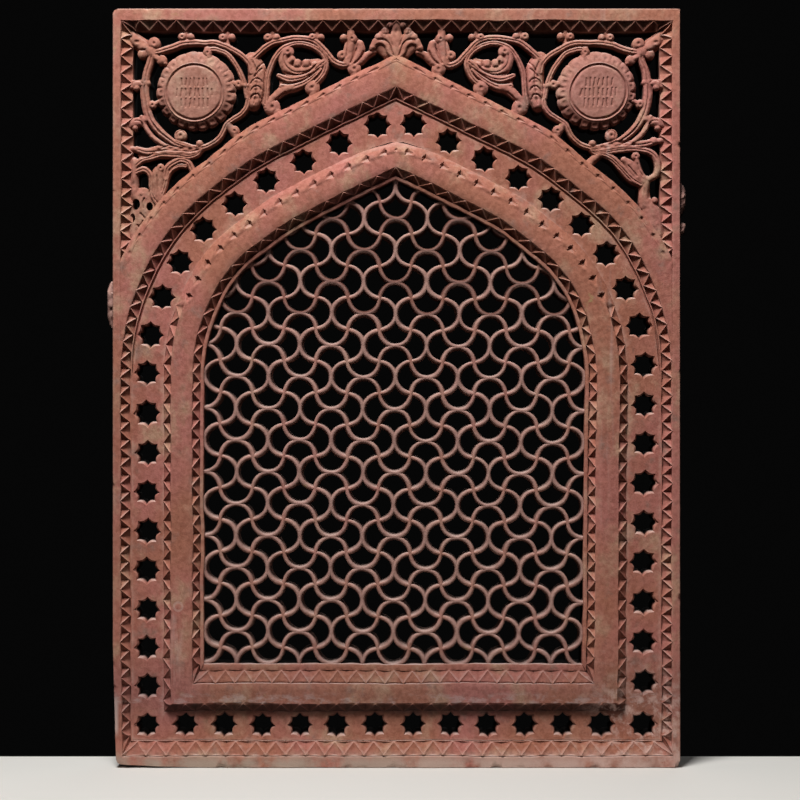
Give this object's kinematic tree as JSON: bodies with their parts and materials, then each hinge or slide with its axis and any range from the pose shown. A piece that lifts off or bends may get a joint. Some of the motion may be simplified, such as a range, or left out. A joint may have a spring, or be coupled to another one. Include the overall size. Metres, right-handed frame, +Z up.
{
  "type": "pierced stone window screen",
  "caption": "Pointed-arch window screen carved in a sandstone slab: scale-pattern lattice, star-pierced band, zigzag and leaf mouldings, scrolling spandrels.",
  "frame": {"origin": "middle of the underside, where the slab stands on its sill", "axes": "+X across the screen to the right of someone facing the carving, +Y from the carved face to the plain back, +Z up"},
  "size_m": [0.994, 0.075, 1.3],
  "materials": {
    "sandstone": "tooled and weathered, matt"
  },
  "bodies": {
    "root": {"stone_screen": "sandstone"}
  },
  "joints": []
}
